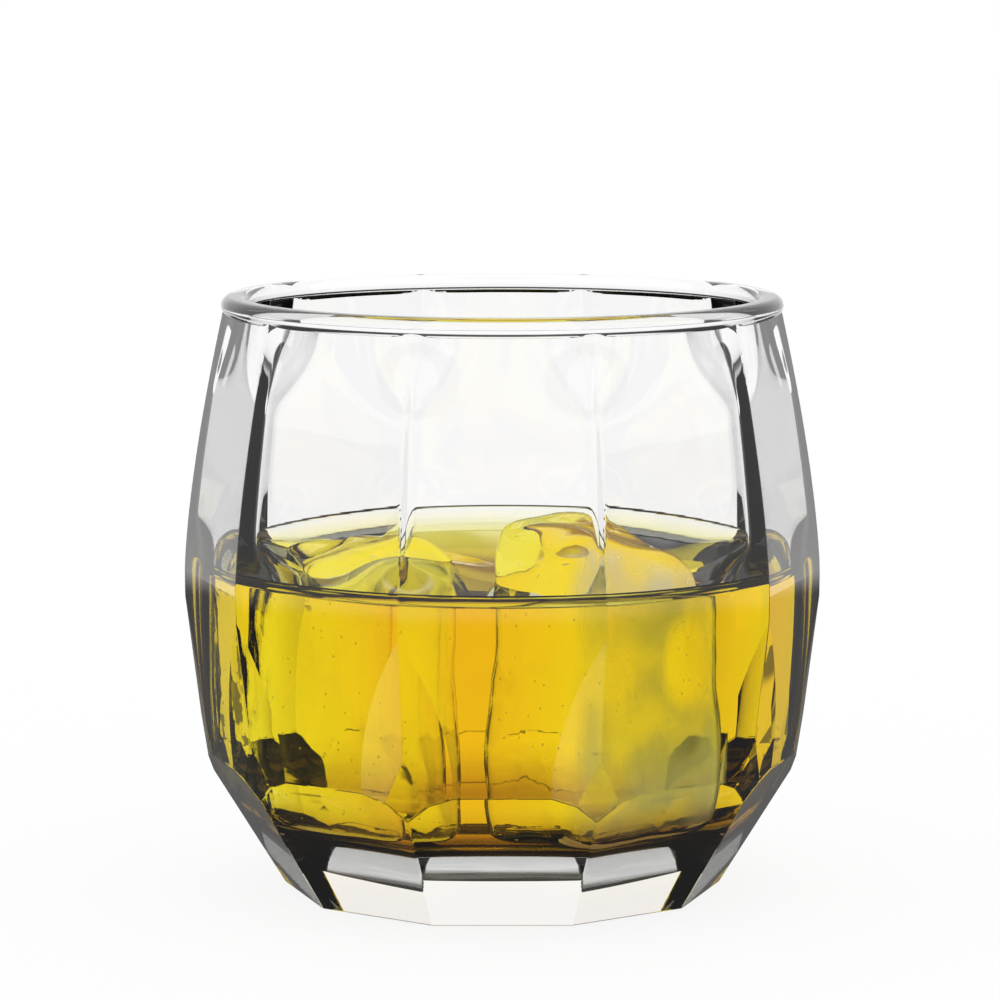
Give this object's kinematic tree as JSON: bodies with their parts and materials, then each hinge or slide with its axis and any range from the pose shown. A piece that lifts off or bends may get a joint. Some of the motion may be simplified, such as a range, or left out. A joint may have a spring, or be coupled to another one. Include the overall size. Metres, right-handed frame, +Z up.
{
  "type": "tumbler",
  "caption": "Faceted whiskey tumbler of clear pressed glass with a beaded rim and a diamond-cut lower body, poured with amber whiskey over ice cubes",
  "frame": {"origin": "the middle of the foot, on the surface the glass stands on", "axes": "+Z up along the axis of the glass, +X through a corner of the ten-sided body toward the taller ice cube, -Y out of the flat panel that faces the viewer"},
  "size_m": [0.092, 0.0874, 0.086],
  "materials": {
    "clear_glass": "clear fire-polished soda-lime glass",
    "amber_whiskey": "clear amber liquid",
    "clear_ice": "clear wet ice with a faint frosting"
  },
  "bodies": {
    "glass": {"tumbler_glass": "clear_glass"},
    "drink": {"whiskey": "amber_whiskey"},
    "ice_left": {"ice_cube_left": "clear_ice"},
    "ice_right": {"ice_cube_right": "clear_ice"}
  },
  "joints": [
    {"name": "drink_swirl", "type": "hinge", "parent": "glass", "child": "drink", "pos_m": [0, 0, 0.012], "axis": [0, 0, 1], "continuous": true},
    {"name": "ice_left_bob", "type": "slide", "parent": "drink", "child": "ice_left", "axis": [0, 0, 1], "range_m": [0, 0.012], "deforming": ["whiskey"]},
    {"name": "ice_right_bob", "type": "slide", "parent": "drink", "child": "ice_right", "axis": [0, 0, 1], "range_m": [0, 0.012], "deforming": ["whiskey"]}
  ]
}
